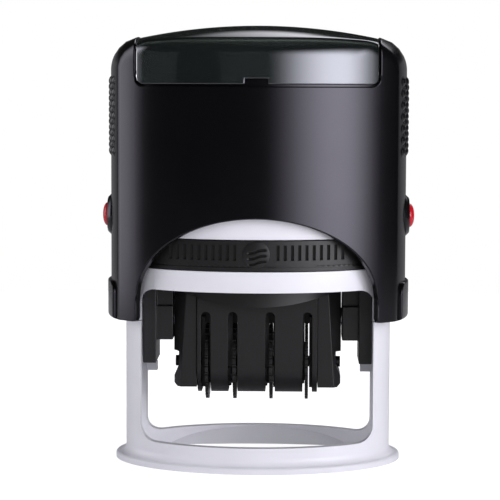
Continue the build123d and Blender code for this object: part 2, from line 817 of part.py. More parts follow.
def spring_point(angle):
    """A point of the spring's middle line and its direction there."""
    low = deck_top + spring_end_gap + spring_wire_radius
    high = spring_top - spring_end_gap - spring_wire_radius
    climb = (high - low) / (2 * pi * spring_turns)
    place = Vector(spring_mean_radius * cos(angle), spring_mean_radius * sin(angle), low + climb * angle)
    heading = Vector(-spring_mean_radius * sin(angle), spring_mean_radius * cos(angle), climb)
    return place, heading.normalized()


def main_spring():
    """Open coil spring as one wire, each quarter turn made of two tangent arcs."""
    quarter = pi / 2
    arcs = []
    for step in range(4 * spring_turns):
        start, start_way = spring_point(step * quarter)
        end, end_way = spring_point((step + 1) * quarter)
        chord = end - start
        ways = start_way + end_way
        a = 2 * (1 - start_way.dot(end_way))
        b = 2 * chord.dot(ways)
        reach_out = (sqrt(b * b + 4 * a * chord.dot(chord)) - b) / (2 * a)
        near = start + start_way * reach_out
        far = end - end_way * reach_out
        middle = (near + far) * 0.5
        arcs.append(TangentArc(start, middle, tangent=start_way))
        arcs.append(TangentArc(middle, end, tangent=far - near))
    start, start_way = spring_point(0)
    section = Plane(origin=start, z_dir=start_way) * Circle(spring_wire_radius)
    pitch = (spring_top - deck_top) / spring_turns
    print("spring's least gap between turns:", round(pitch - 2 * spring_wire_radius, 2), "mm")
    return sweep(section, path=Wire(arcs))


def write(name, part):
    """Write one node as a STEP file."""
    export_step(part, "parts/" + name + ".step")


write("base_frame", base_frame())
write("ink_pad_tray", ink_pad_tray())
write("ink_felt", ink_felt())
write("outer_shell", outer_shell())
write("window_lid", window_lid())
write("yoke", yoke())
write("main_spring", main_spring())
write("die_holder", die_holder())
write("text_plate", text_plate())
write("date_anvil", date_anvil())
write("band_cover", band_cover())
write("wheel_axle", wheel_axle())
for wheel_name in wheels:
    write("wheel_" + wheel_name, date_wheel(wheel_name))
    write("date_band_" + wheel_name, date_band(wheel_name))
for sided_name, maker in {
    "side_grip": side_grip,
    "button_bezel": button_bezel,
    "button": button,
    "cheek": cheek,
    "pivot_pin": pivot_pin,
}.items():
    right = maker()
    write(sided_name + "_right", right)
    write(sided_name + "_left", mirrored(right))
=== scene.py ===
# %% [markdown]
# # A self-inking date stamp
# A glossy black handle slides over a white oval frame. Inside it a black carrier holds an oval die and four
# date bands, and turns over on its way down to the paper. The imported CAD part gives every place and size.
# This lesson adds what a CAD solid lacks: surfaces that reflect smoothly, edges that catch the light, and
# finishes. Each step says what the piece is and why it is made the way it is.

# %% Load the frame
import json
import math
from contextlib import contextmanager
import bmesh
import bpy
import numpy as np
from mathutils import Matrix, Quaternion, Vector


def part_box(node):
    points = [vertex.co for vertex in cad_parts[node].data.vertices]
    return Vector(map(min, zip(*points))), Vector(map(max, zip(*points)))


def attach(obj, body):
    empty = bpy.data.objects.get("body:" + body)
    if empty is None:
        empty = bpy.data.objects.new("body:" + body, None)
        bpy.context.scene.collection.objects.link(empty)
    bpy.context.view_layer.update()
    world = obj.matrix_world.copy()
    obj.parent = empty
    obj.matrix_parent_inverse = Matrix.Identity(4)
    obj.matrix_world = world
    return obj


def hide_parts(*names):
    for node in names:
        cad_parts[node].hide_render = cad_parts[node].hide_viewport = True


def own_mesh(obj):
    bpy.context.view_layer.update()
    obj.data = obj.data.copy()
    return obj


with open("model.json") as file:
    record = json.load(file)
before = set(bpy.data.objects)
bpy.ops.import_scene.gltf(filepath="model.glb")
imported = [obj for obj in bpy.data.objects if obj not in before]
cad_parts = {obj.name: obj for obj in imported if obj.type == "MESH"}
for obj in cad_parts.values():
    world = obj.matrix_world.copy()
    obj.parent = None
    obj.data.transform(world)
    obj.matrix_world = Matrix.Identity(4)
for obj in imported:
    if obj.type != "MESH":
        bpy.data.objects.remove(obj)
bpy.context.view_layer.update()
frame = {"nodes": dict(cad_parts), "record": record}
MM = 0.001

# %% [markdown]
# ## Finishes
# Moulded plastic is never one flat colour. Its gloss varies a little where the mould was polished, and its
# skin has a very fine unevenness. One helper makes such a plastic from a colour, a gloss and a grain, and
# each finish below only says how it differs. All patterns read Object coordinates, in metres, so they stay
# on the piece when it moves.

# %% A helper for moulded plastic
cloud_size = 12
cloud_brightness = 1.18


def plastic(name, colour, gloss, spread, grain, relief):
    """Principled plastic: roughness wanders between gloss and gloss + spread in clouds twelve grains wide,
    and a noise of the given grain (patterns in a metre) lifts the surface by relief metres."""
    material = bpy.data.materials.new(name)
    material.use_nodes = True
    nodes = material.node_tree.nodes
    links = material.node_tree.links
    shader = nodes["Principled BSDF"]
    place = nodes.new("ShaderNodeTexCoord")
    clouds = nodes.new("ShaderNodeTexNoise")
    clouds.inputs["Scale"].default_value = grain / cloud_size
    clouds.inputs["Detail"].default_value = 3
    links.new(place.outputs["Object"], clouds.inputs["Vector"])
    rough = nodes.new("ShaderNodeMapRange")
    rough.inputs["To Min"].default_value = gloss
    rough.inputs["To Max"].default_value = gloss + spread
    links.new(clouds.outputs["Fac"], rough.inputs["Value"])
    links.new(rough.outputs["Result"], shader.inputs["Roughness"])
    tint = nodes.new("ShaderNodeMix")
    tint.data_type = "RGBA"
    tint.inputs["A"].default_value = (*colour, 1)
    tint.inputs["B"].default_value = (*[cloud_brightness * part for part in colour], 1)
    links.new(clouds.outputs["Fac"], tint.inputs["Factor"])
    links.new(tint.outputs["Result"], shader.inputs["Base Color"])
    skin = nodes.new("ShaderNodeTexNoise")
    skin.inputs["Scale"].default_value = grain
    skin.inputs["Detail"].default_value = 4
    links.new(place.outputs["Object"], skin.inputs["Vector"])
    bump = nodes.new("ShaderNodeBump")
    bump.inputs["Distance"].default_value = relief
    bump.inputs["Strength"].default_value = 1.0
    links.new(skin.outputs["Fac"], bump.inputs["Height"])
    links.new(bump.outputs["Normal"], shader.inputs["Normal"])
    return material


# %% The finishes of the pieces
shell_black = plastic("shell_black", (0.0028, 0.0026, 0.003), 0.17, 0.05, 900, 0.000002)
grip_black = plastic("grip_black", (0.004, 0.004, 0.0045), 0.2, 0.08, 2500, 0.000003)
bezel_black = plastic("bezel_black", (0.004, 0.004, 0.004), 0.22, 0.06, 1500, 0.000003)
frame_white = plastic("frame_white", (0.78, 0.78, 0.83), 0.26, 0.08, 700, 0.000003)
tray_black = plastic("tray_black", (0.008, 0.0076, 0.008), 0.36, 0.08, 2500, 0.000006)
mechanism_black = plastic("mechanism_black", (0.0068, 0.0065, 0.0068), 0.36, 0.1, 2500, 0.000006)
wheel_black = plastic("wheel_black", (0.008, 0.008, 0.008), 0.3, 0.08, 2500, 0.000006)
button_red = plastic("button_red", (0.52, 0.008, 0.02), 0.13, 0.05, 900, 0.000002)
die_rubber = plastic("die_rubber", (0.05, 0.045, 0.05), 0.55, 0.15, 3500, 0.00001)
band_rubber = plastic("band_rubber", (0.035, 0.034, 0.036), 0.5, 0.15, 3500, 0.00001)
ink_felt = plastic("ink_felt", (0.02, 0.012, 0.045), 0.75, 0.2, 5000, 0.00008)
print("finishes:", len(bpy.data.materials))

# %% [markdown]
# Bare steel needs a metallic shader. The spring and the pins are bright. The wheels' axle is blackened, so
# that its ends stay dark beside the mechanism.

# %% Steel
steel = plastic("steel", (0.55, 0.55, 0.57), 0.22, 0.12, 3000, 0.000004)
axle_steel = plastic("axle_steel", (0.045, 0.045, 0.047), 0.32, 0.12, 3000, 0.000004)
for metal in (steel, axle_steel):
    metal.node_tree.nodes["Principled BSDF"].inputs["Metallic"].default_value = 1.0

# %% [markdown]
# The cap over the top is smoked clear plastic. The black shell under it makes it look almost black, and
# only its own skin shines.

# %% Smoked clear plastic
lid_clear = plastic("lid_clear", (0.04, 0.05, 0.046), 0.045, 0.02, 500, 0.0000006)
clear = lid_clear.node_tree.nodes["Principled BSDF"]
clear.inputs["Transmission Weight"].default_value = 0.85
clear.inputs["IOR"].default_value = 2.05

# %% [markdown]
# The black plastic mirrors light with a cool, slightly violet tint, and the smoked plastic with a blue one.

# %% Tints of the mirrored light
violet = (0.9, 0.87, 1.0, 1)
blue = (0.9, 0.92, 1.0, 1)
for tinted, tint in ((shell_black, violet), (bezel_black, violet), (lid_clear, blue)):
    tinted.node_tree.nodes["Principled BSDF"].inputs["Specular Tint"].default_value = tint

# %% [markdown]
# ## Small helpers for meshes
# A surface is a grid of points, one row after another. A patch is such a grid. Patches that share an edge
# are joined by merging the points that fall on each other, which keeps the shading smooth across them.

# %% Objects and meshes
def scene_object(name, data):
    """New object in the scene that shows this data."""
    item = bpy.data.objects.new(name, data)
    bpy.context.scene.collection.objects.link(item)
    return item


@contextmanager
def edited(mesh):
    """Opens a mesh for editing and writes the result back at the end."""
    tool = bmesh.new()
    tool.from_mesh(mesh)
    yield tool
    tool.to_mesh(mesh)
    tool.free()


# %% Grids become one mesh
def grid_faces(rows, columns, start):
    """Quads of a grid whose points are numbered row by row from start."""
    index = start + np.arange(rows * columns).reshape(rows, columns)
    corners = (index[:-1, :-1], index[:-1, 1:], index[1:, 1:], index[1:, :-1])
    return np.stack([corner.ravel() for corner in corners], axis=1)


def piece_from_patches(name, patches, material, body):
    """Joins grids of points (rows, columns, 3) in millimetres into one smooth piece that rides on a body."""
    points = []
    faces = []
    start = 0
    for patch in patches:
        rows, columns = patch.shape[:2]
        points.append(patch.reshape(-1, 3) * MM)
        faces.append(grid_faces(rows, columns, start))
        start += rows * columns
    points = np.concatenate(points)
    faces = np.concatenate(faces)
    mesh = bpy.data.meshes.new(name)
    mesh.from_pydata(points.tolist(), [], faces.tolist())
    piece = scene_object(name, mesh)
    merge(mesh)
    return finish_piece(piece, material, body)


def merge(mesh, distance=0.000002):
    """Merges points that fall on each other and drops faces that shrank to nothing."""
    with edited(mesh) as tool:
        bmesh.ops.remove_doubles(tool, verts=tool.verts, dist=distance)
        bmesh.ops.dissolve_degenerate(tool, edges=tool.edges, dist=distance)


def finish_piece(piece, material, body, crease=32):
    """Smooth shading with sharp edges past the crease angle, a material, a body and a slot."""
    mesh = piece.data
    mesh.polygons.foreach_set("use_smooth", np.ones(len(mesh.polygons), bool))
    mesh.set_sharp_from_angle(angle=math.radians(crease))
    mesh.materials.clear()
    mesh.materials.append(material)
    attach(piece, body)
    return piece


# %% [markdown]
# ## The handle's form
# Seen from the front the handle is a tall box with round shoulders and a slow crown. Its front and back
# bow out like a barrel stave, and its sides and top bow out too, so two outlines are enough: one through
# the middle of the depth and one further out. Every point of the sides and the top lies on a parabola
# between them. The front and back are parts of two upright cylinders.

# %% Sizes of the handle, from the frame where it gives them
shell_low, shell_high = (np.array(corner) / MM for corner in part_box("outer_shell"))
lid_low, lid_high = (np.array(corner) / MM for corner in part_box("window_lid"))
skirt_flare = 0.9
half_width = shell_high[0] - skirt_flare
half_depth = shell_high[1]
top = lid_high[2]
bottom = shell_low[2]
lid_half_width = lid_high[0]
lid_bottom = lid_low[2]
front_radius = 54.6
crown_radius = 156.0
shoulder_radius = 9.3
bow_depth = half_depth + 2.0
side_bow = 14.5
top_bow = 5.4
end_crown_radius = 3000.0
end_shoulder_radius = 6.0
edge_radius = 5.4
least_edge_radius = 0.4
foot_place = 3
wall_place = 2
halvings = 60
print("handle:", 2 * half_width, "by", 2 * half_depth, "mm, top at", top)


# %% The two outlines and the surface between them
def outline(place, wide, high, crown, shoulder):
    """Front outline at place from -3 (left foot) over 0 (top) to 3 (right foot): an upright line, an arc of
    the shoulder's radius and an arc of the crown's radius, one unit of place each."""
    side = np.sign(place)
    step = foot_place - np.abs(place)
    across = wide - shoulder
    rise = np.sqrt((crown - shoulder) ** 2 - across ** 2)
    centre = high - crown
    lean = np.arctan2(rise, across)
    turn_shoulder = lean * np.clip(step - 1, 0, 1)
    turn_crown = lean + (np.pi / 2 - lean) * np.clip(step - 2, 0, 1)
    wall_top = centre + rise
    x = np.where(step <= 1, wide, across + shoulder * np.cos(turn_shoulder))
    z = np.where(step <= 1, bottom + (wall_top - bottom) * step, wall_top + shoulder * np.sin(turn_shoulder))
    x = np.where(step > 2, crown * np.cos(turn_crown), x)
    z = np.where(step > 2, centre + crown * np.sin(turn_crown), z)
    return side * x, z


def barrel(place, depth, inset, lift=0.0):
    """Point of the sides and top: the middle outline plus (depth / bow_depth) squared of the way to the end
    one. Lift raises the top, for the two ends of the shell that stand a little above the lid."""
    share = (depth / bow_depth) ** 2
    high = top + lift - inset
    mid_x, mid_z = outline(place, half_width - inset, high, crown_radius - inset, shoulder_radius - inset)
    end_x, end_z = outline(place, half_width - side_bow - inset, high - top_bow, end_crown_radius,
                           end_shoulder_radius - inset)
    return mid_x + (end_x - mid_x) * share, mid_z + (end_z - mid_z) * share


def bow(x, inset):
    """Half depth of the front and back at x: an upright cylinder of the front's radius."""
    return np.sqrt((front_radius - inset) ** 2 - x ** 2) - (front_radius - half_depth)


def rim_depth(place, inset, lift=0.0):
    """Depth at which the barrel meets the front, found by halving the error again and again."""
    depth = np.full_like(place, half_depth / 2)
    for _ in range(halvings):
        depth = (depth + bow(barrel(place, depth, inset, lift)[0], inset)) / 2
    return depth


# %% [markdown]
# The barrel and the front meet in an edge, which the mould rounds with a radius of 5.4 mm. On each line
# across the edge the rounding is a cubic curve. It leaves the barrel along the barrel, arrives on the front
# along the front, and its handles have the length that makes a cubic follow a circle.

# %% Lines from the ridge over the rounded edge to the front
def unit(vectors):
    """Vectors scaled to length one along the last axis."""
    return vectors / np.linalg.norm(vectors, axis=-1, keepdims=True)


def barrel_points(place, depth, inset, lift=0.0):
    """Points of the barrel as (..., 3), with the front towards -Y."""
    x, z = barrel(place, depth, inset, lift)
    return np.stack([x, -depth * np.ones_like(x), z], axis=-1)


def front_points(x, z, inset):
    """Points of the front face as (..., 3)."""
    return np.stack([x, -bow(x, inset), z], axis=-1)


def rounded_lines(place, inset, lift=0.0, across=14, round_steps=10):
    """Grid (steps, places, 3) from the ridge to the end of the rounding on the front, for half the depth."""
    radius = max(edge_radius - inset, least_edge_radius)
    depth = rim_depth(place, inset, lift)
    corner = barrel_points(place, depth, inset, lift)
    small = 0.01
    along = unit(np.gradient(corner, axis=0))
    back = unit(barrel_points(place, depth - small, inset, lift) - corner)
    from_axis = [corner[:, 0], corner[:, 1] + half_depth - front_radius, 0 * corner[:, 0]]
    flat_normal = unit(np.stack(from_axis, axis=-1))
    into = unit(np.cross(along, flat_normal))
    into *= np.sign(np.sum(into * (np.array([0, corner[0, 1], bottom]) - corner), axis=-1, keepdims=True))
    barrel_normal = unit(np.cross(along, back))
    barrel_normal *= np.sign(np.sum(barrel_normal * flat_normal, axis=-1, keepdims=True))
    turn = np.arccos(np.clip(np.sum(barrel_normal * flat_normal, axis=-1), -1, 1))
    reach = radius * np.tan(turn / 2)
    start_depth = depth - reach
    start = barrel_points(place, start_depth, inset, lift)
    start_way = unit(barrel_points(place, start_depth + small, inset, lift) - start)
    end_x = corner[:, 0] + into[:, 0] * reach
    end_z = corner[:, 2] + into[:, 2] * reach
    end = front_points(end_x, end_z, inset)
    near = front_points(end_x - into[:, 0] * small, end_z - into[:, 2] * small, inset)
    end_way = unit(near - end)
    handle = (4 / 3) * np.tan(turn / 4)[:, None] * radius
    share = np.linspace(0, 1, across + 1)[:-1, None]
    flat = barrel_points(place[None, :], share * start_depth[None, :], inset, lift)
    t = np.linspace(0, 1, round_steps + 1)[:, None, None]
    curve = ((1 - t) ** 3 * start + 3 * t * (1 - t) ** 2 * (start + start_way * handle)
             + 3 * t ** 2 * (1 - t) * (end + end_way * handle) + t ** 3 * end)
    return np.concatenate([flat, curve])


half_way_up = np.array([(foot_place + wall_place) / 2])
print("barrel meets the front at a depth of", rim_depth(half_way_up, 0).round(2), "mm")

# %% [markdown]
# ## The handle's shell
# The lid sits in a wide gap of the shell, so the shell has a left and a right end that wrap from front to
# back, and a front and a back wall under the lid. The lines over the edge are cut off where they reach the
# lid's groove. Every wall patch lies between two curves drawn on the front: leg walls between the rounded
# edge and the arch, and the middle wall between the lid's groove and the arch.

# %% Lines cut off at a distance from the middle
fine_places = np.linspace(0.001, foot_place, 900)


def cut_places(grid, cut_x):
    """Place at which each line across the handle's half reaches cut_x."""
    before = fine_places <= wall_place
    return np.array([np.interp(cut_x, row[before, 0], fine_places[before]) for row in grid])


def sampled(grid, wanted):
    """Points of a fine grid (rows, fine places, 3) at the wanted places (rows, columns)."""
    return np.stack([
        np.stack([np.interp(place, fine_places, row[:, axis]) for axis in range(3)], axis=-1)
        for place, row in zip(wanted, grid)
    ])


def flipped(patches, axis):
    """Each patch and its mirror image across the plane square to an axis (0 for X, 1 for Y)."""
    sign = np.ones(3)
    sign[axis] = -1
    return patches + [patch[:, ::-1] * sign for patch in patches]


def between(first, second, steps):
    """Ruled grid of front points between two curves given as (columns, 2) in x and z."""
    share = np.linspace(0, 1, steps + 1)[:, None, None]
    flat = first * (1 - share) + second * share
    return flat[..., 0], flat[..., 1]


# %% Outer skin of the shell
groove = 0.55
end_lift = 0.45
leg_round = 1.2
corner_radius = 1.9 + groove
arch_half_width = half_width - 8.15
arch_base = bottom + 6.0
arch_height = 22.5
recess_x = lid_half_width + groove
recess_z = lid_bottom - groove
seam_rows = 34
curl_steps = 6
leg_rows = 4
leg_columns = 7
end_rows = 6
corner_steps = 12
rim_columns = 40
place_margin = 0.01


def shell_skin(inset):
    """Patches of the shell's skin, drawn in by inset, without the stretch that the lid covers."""
    grid = rounded_lines(fine_places, inset, end_lift)
    cut = cut_places(grid, recess_x)
    edge = grid[-1]
    end_z = np.interp(cut[-1], fine_places, edge[:, 2])
    quarter = np.linspace(0, np.pi / 2, curl_steps + 1)[:-1]
    levels = np.concatenate([
        bottom + leg_round * (1 - np.cos(quarter)),
        np.linspace(bottom + leg_round, arch_base, leg_rows + 1)[:-1],
        np.linspace(arch_base, recess_z + corner_radius, seam_rows + 1)[:-1],
        np.linspace(recess_z + corner_radius, end_z, end_rows),
    ])
    down = fine_places > cut[-1] - place_margin
    at_levels = np.interp(levels, edge[down, 2][::-1], fine_places[down][::-1])
    at_levels[0] = foot_place
    at_levels[-1] = cut[-1]
    share = (foot_place - at_levels) / (foot_place - cut[-1])
    wanted = foot_place - (foot_place - cut[:, None]) * share[None, :]
    over = sampled(grid, wanted)
    outer = over[-1][:, [0, 2]]
    inner_x = np.interp(levels, [arch_base, recess_z + corner_radius], [arch_half_width, recess_x])
    short = np.maximum(leg_round - (levels - bottom), 0)
    inner_x += leg_round - np.sqrt(leg_round ** 2 - short ** 2)
    inner = np.stack([inner_x, levels], axis=-1)
    leg = front_points(*between(outer, inner, leg_columns), inset)
    turn = np.linspace(0, np.pi / 2, corner_steps + 1)
    rim_x = np.concatenate([
        recess_x - corner_radius + corner_radius * np.cos(turn),
        np.linspace(recess_x - corner_radius, 0, rim_columns)[1:],
    ])
    rim_z = np.concatenate([
        recess_z + corner_radius - corner_radius * np.sin(turn),
        np.full(rim_columns - 1, recess_z),
    ])
    arch_x = rim_x * arch_half_width / recess_x
    arch_z = arch_base + arch_height * np.sqrt(1 - (arch_x / arch_half_width) ** 2)
    arch = np.stack([arch_x, arch_z], axis=-1)
    rim = np.stack([rim_x, rim_z], axis=-1)
    middle = front_points(*between(arch, rim, seam_rows), inset)
    return flipped(flipped([over, leg, middle], 0), 1)


def thicken(piece, thickness, bevel=0.0):
    """Gives an open skin a wall on its inner side and, where bevel is given, rounds its sharp edges."""
    wall = piece.modifiers.new("wall", "SOLIDIFY")
    wall.thickness = thickness * MM
    wall.offset = -1
    wall.use_even_offset = True
    wall.use_quality_normals = True
    if bevel:
        soften(piece, bevel)


def soften(piece, width, segments=3, sharp=40):
    """Rounds edges sharper than 40 degrees by a bevel of the given width in millimetres."""
    edge = piece.modifiers.new("edges", "BEVEL")
    edge.width = width * MM
    edge.segments = segments
    edge.limit_method = "ANGLE"
    edge.angle_limit = math.radians(sharp)
    edge.use_clamp_overlap = False
    edge.harden_normals = True
    return edge


def same_way(mesh):
    """Turns neighbouring faces the same way round, and those of a closed mesh outwards."""
    with edited(mesh) as tool:
        bmesh.ops.recalc_face_normals(tool, faces=tool.faces)


def face_outwards(piece, centre):
    """Turns all faces the same way, away from a centre given in millimetres."""
    mesh = piece.data
    same_way(mesh)
    count = len(mesh.polygons)
    normals = np.zeros(count * 3)
    places_of_faces = np.zeros(count * 3)
    mesh.polygons.foreach_get("normal", normals)
    mesh.polygons.foreach_get("center", places_of_faces)
    away = places_of_faces.reshape(-1, 3) - np.array(centre) * MM
    if np.sum(normals.reshape(-1, 3) * away) < 0:
        mesh.flip_normals()


handle_middle = (0, 0, 80)
shell_wall = 2.0
shell_bevel = 0.35
shell = piece_from_patches("handle_shell", shell_skin(0), shell_black, "handle")
face_outwards(shell, handle_middle)
thicken(shell, shell_wall, shell_bevel)
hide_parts("outer_shell")
print("shell skin:", len(shell.data.vertices), "points")

# %% [markdown]
# Under the lid the shell goes on as a shelf, one lid thickness further in. It is what shows through the
# clear cap, and what is left when the cap is lifted off.

# %% The shelf under the lid
shelf_inset = 1.45
shelf_margin = 1.2
shelf_wall = 1.8
shelf_rows = 10
shelf_columns = 45


def shelf_skin(inset, reach_x, low):
    """Skin over the top between -reach_x and reach_x, down to a level height low on the front and back."""
    grid = rounded_lines(fine_places, inset)
    cut = cut_places(grid, reach_x)
    share = np.linspace(0, 1, shelf_columns)
    wanted = np.maximum(cut[:, None] * share[None, :], fine_places[0])
    over = sampled(grid, wanted)
    over[:, 0, 0] = 0
    edge = over[-1][:, [0, 2]]
    foot = np.stack([edge[:, 0], np.full(len(edge), low)], axis=-1)
    wall = front_points(*between(edge, foot, shelf_rows), inset)
    return flipped(flipped([over, wall], 0), 1)


shelf_patches = shelf_skin(shelf_inset, recess_x + shelf_margin, recess_z - shelf_margin)
shelf = piece_from_patches("lid_shelf", shelf_patches, shell_black, "handle")
face_outwards(shelf, handle_middle)
thicken(shelf, shelf_wall)
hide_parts("outer_shell")
print("shelf skin:", len(shelf.data.vertices), "points")

# %% [markdown]
# ## The clear cap
# The cap has the same skin as the handle, between the two grooves. Its lower corners are round, and a thumb
# notch is cut in the middle of its front and back edge. The wall is cut into two bands of quads, an upper
# one that ends at the notch's height and a lower one that leaves the notch out.

# %% The cap's skin
notch_half_width = 3.1
notch_height = 1.5
notch_columns = 4
flat_columns = 33
cap_corner_steps = 10
upper_rows = 10
lower_rows = 3
cap_wall = 1.3
cap_bevel = 0.3


def lid_skin():
    """Patches of the cap: over the top, down the front to the notch's height, and down to the edge."""
    grid = rounded_lines(fine_places, 0)
    cut = cut_places(grid, lid_half_width)
    radius = corner_radius - groove
    flat = lid_half_width - radius
    turn = np.linspace(0, np.pi / 2, cap_corner_steps + 1)
    low_x = np.concatenate([
        np.linspace(0, notch_half_width, notch_columns + 1)[:-1],
        np.linspace(notch_half_width, flat, flat_columns + 1)[:-1],
        flat + radius * np.sin(turn),
    ])
    flat_z = np.full(notch_columns + flat_columns, lid_bottom)
    low_z = np.concatenate([flat_z, lid_bottom + radius - radius * np.cos(turn)])
    before = fine_places <= wall_place
    at_edge = np.interp(low_x, grid[-1][before, 0], fine_places[before])
    share = at_edge / cut[-1]
    wanted = np.maximum(cut[:, None] * share[None, :], fine_places[0])
    over = sampled(grid, wanted)
    over[:, 0, 0] = 0
    edge = over[-1][:, [0, 2]]
    low = np.stack([low_x, low_z], axis=-1)
    raised = low + np.array([0, notch_height])
    upper = front_points(*between(edge, raised, upper_rows), 0)
    lower = front_points(*between(raised[notch_columns:], low[notch_columns:], lower_rows), 0)
    return flipped(flipped([over, upper, lower], 0), 1)


lid = piece_from_patches("clear_cap", lid_skin(), lid_clear, "lid")
face_outwards(lid, handle_middle)
thicken(lid, cap_wall, cap_bevel)
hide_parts("window_lid")
print("cap skin:", len(lid.data.vertices), "points")

# %% [markdown]
# ## Pads on the handle's sides
# Two things stand out from each side: a flared pad at the foot of the handle, where the fingers pull it, and
# a field of small domes above. Both are drawn on the side's own curve, so each is a function of the depth y
# and the height z that gives how far the surface lies outside the barrel.

# %% A point on the side at a distance from it
def side_points(y, z, proud):
    """Points (..., 3) on the right side at depth y and height z, moved out along the side's normal: the side
    is the parabola x = half_width - side_bow (y / bow_depth)^2, with its slope for the normal."""
    slope = 2 * side_bow * y / bow_depth ** 2
    x = half_width - side_bow * (y / bow_depth) ** 2
    length = np.sqrt(1 + slope ** 2)
    return np.stack([x + proud / length, y + proud * slope / length, z + 0 * x], axis=-1)


# %% Flared pads at the foot
skirt_half_depth = 12.4
skirt_height = 10.2
skirt_corner = 3.0
foot_round = 1.0
least_corner = 0.05
flat_inset = 3.0
middle_rings = 15


def skirt_outline(inset, points=24):
    """Closed outline on y and z, drawn in by inset: square corners at the bottom, round ones at the top."""
    half = skirt_half_depth - inset
    low = bottom + inset
    high = bottom + skirt_height - inset
    radius = max(skirt_corner - inset, least_corner)
    turn = np.linspace(0, np.pi / 2, points)
    right_y = half - radius + radius * np.cos(turn)
    right_z = high - radius + radius * np.sin(turn)
    rise = np.linspace(low, high - radius, points)[:-1]
    across = np.linspace(-half, half, 2 * points)[:-1]
    crown = np.linspace(half - radius, radius - half, points)[1:-1]
    side = np.full_like(rise, half)
    y = np.concatenate([across, side, right_y, crown, -right_y[::-1], -side])
    z = np.concatenate([
        np.full_like(across, low), rise, right_z, np.full_like(crown, high), right_z[::-1], rise[::-1],
    ])
    return y, z


def skirt_pad(name, way):
    """Pad from rings: its edge rises out of the side, rounds over and runs in to the middle."""
    rings = [(0.0, -0.4), (0.0, 0.55), (0.06, 0.74), (0.18, 0.86)]
    rings += [(inset, skirt_flare) for inset in (0.36, 0.6, 0.85, 1.2, 2.0, flat_inset)]
    rows = []
    for inset, proud in rings:
        y, z = skirt_outline(inset)
        short = np.maximum(foot_round - (z - bottom), 0)
        curled = skirt_flare - foot_round + np.sqrt(foot_round ** 2 - short ** 2)
        rows.append(side_points(y, z, np.minimum(proud, curled)))
    y, z = skirt_outline(flat_inset)
    middle_z = bottom + skirt_height / 2
    for share in np.linspace(0.93, 0.0, middle_rings):
        rows.append(side_points(y * share, middle_z + (z - middle_z) * share, np.full_like(y, skirt_flare)))
    grid = np.stack(rows)
    grid = np.concatenate([grid, grid[:, :1]], axis=1) * np.array([way, 1, 1])
    pad = piece_from_patches(name, [grid], shell_black, "handle")
    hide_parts("outer_shell")
    face_outwards(pad, (0, 0, middle_z))


skirt_pad("foot_pad_left", -1)
skirt_pad("foot_pad_right", 1)
print("foot pads: ", 2 * skirt_half_depth, "mm deep and", skirt_height, "mm high")

# %% [markdown]
# The grip is a moulded field of domes in staggered columns. A dome is the cap of a ball, so its height over
# the plate is the ball's own height minus what lies under the plate. One height function gives the whole
# field: at each point the highest of the domes near it.

# %% Fields of grip domes
grip_low, grip_high = (np.array(corner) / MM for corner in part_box("side_grip_right"))
dot_columns = 9
dot_rows = 6
dot_pitch_across = 2.5
dot_pitch_up = 3.16
dot_radius = 1.32
dot_height = 0.62
grip_base = 0.03
rim_step = 0.02
rim_sink = -0.25
field_columns = 150
field_rows = 144


def dome_height(y, z, middle_z):
    """Height over the plate at y and z: ball caps of one radius on a staggered grid of columns and rows."""
    ball = (dot_radius ** 2 + dot_height ** 2) / (2 * dot_height)
    height = np.zeros_like(y)
    for column in range(dot_columns):
        centre_y = (column - (dot_columns - 1) / 2) * dot_pitch_across
        stagger = column % 2
        rows = dot_rows + 1 - stagger
        row = np.clip(np.round((z - middle_z) / dot_pitch_up + (rows - 1) / 2), 0, rows - 1)
        centre_z = middle_z + (row - (rows - 1) / 2) * dot_pitch_up
        square = (y - centre_y) ** 2 + (z - centre_z) ** 2
        cap = np.sqrt(np.maximum(ball ** 2 - square, 0)) - (ball - dot_height)
        height = np.maximum(height, cap)
    return height


def grip_field(name, way):
    """Plate of domes on one side; its rim bends down into the side all round."""
    half = grip_high[1]
    low, high = grip_low[2], grip_high[2]
    across = np.concatenate([[-half], np.linspace(-half + rim_step, half - rim_step, field_columns), [half]])
    up = np.concatenate([[low], np.linspace(low + rim_step, high - rim_step, field_rows), [high]])
    y, z = np.meshgrid(across, up)
    proud = grip_base + dome_height(y, z, (low + high) / 2)
    rim = (np.abs(y) > half - rim_step / 2) | (z < low + rim_step / 2) | (z > high - rim_step / 2)
    proud = np.where(rim, rim_sink, proud)
    grid = side_points(y, z, proud) * np.array([way, 1, 1])
    field = piece_from_patches(name, [grid], grip_black, "handle")
    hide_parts("side_grip_left" if way < 0 else "side_grip_right")
    face_outwards(field, (0, 0, (low + high) / 2))


grip_field("grip_dots_left", -1)
grip_field("grip_dots_right", 1)
print("grip fields:", dot_columns, "columns of domes on each side")

# %% [markdown]
# ## The lock buttons
# A button and the ring round it are turned shapes, so each is a profile of (radius, distance out) that goes
# round the button's axis. The ring slopes at 45 degrees from the shell up to the button, and the button ends
# in a low dome.

# %% Turned shapes on the sides
def turned(name, profile, way, middle_z, material, body, steps=72):
    """Profile of (radius, x) in millimetres turned round the line along X at height middle_z; way is the
    side, -1 or 1."""
    angle = np.linspace(0, 2 * np.pi, steps + 1)
    radius = profile[:, :1] * np.ones_like(angle)
    x = profile[:, 1:] * np.ones_like(angle)
    grid = np.stack([way * x, radius * np.cos(angle), middle_z + radius * np.sin(angle)], axis=-1)
    piece = piece_from_patches(name, [grid], material, body)
    face_outwards(piece, (way * float(np.mean(profile[:, 1])), 0, middle_z))
    return piece


